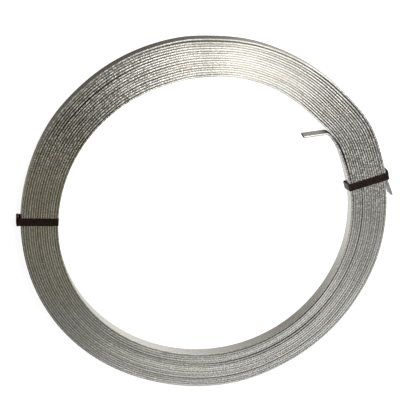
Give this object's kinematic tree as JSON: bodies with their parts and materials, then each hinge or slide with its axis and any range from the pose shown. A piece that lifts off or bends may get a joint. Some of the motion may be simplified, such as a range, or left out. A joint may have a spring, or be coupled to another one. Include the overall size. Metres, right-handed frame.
{
  "type": "steel strip coil",
  "caption": "Coil of galvanised flat steel strip lying on its end, open eye, inner end bent into the eye, outer end sprung off, bound with black straps closed by crimped seals.",
  "frame": {"origin": "On the coil's axis, at the level of the floor that the coil lies on.", "axes": "+Z is the coil's axis and points up. +X points close to the right strap and the sprung outer end, and +Y completes the right-handed frame."},
  "size_m": [0.768, 0.752, 0.0274],
  "materials": {
    "zinc_strip": "hot-dip galvanised, dull grey with dirt between the turns",
    "black_strap": "black plastic strapping, satin and scuffed",
    "seal_steel": "dark lacquered steel with rust at the crimps"
  },
  "bodies": {
    "root": {"strip_coil": "zinc_strip", "strap_left": "black_strap", "strap_right": "black_strap", "seal_left": "seal_steel", "seal_right": "seal_steel"}
  },
  "joints": []
}
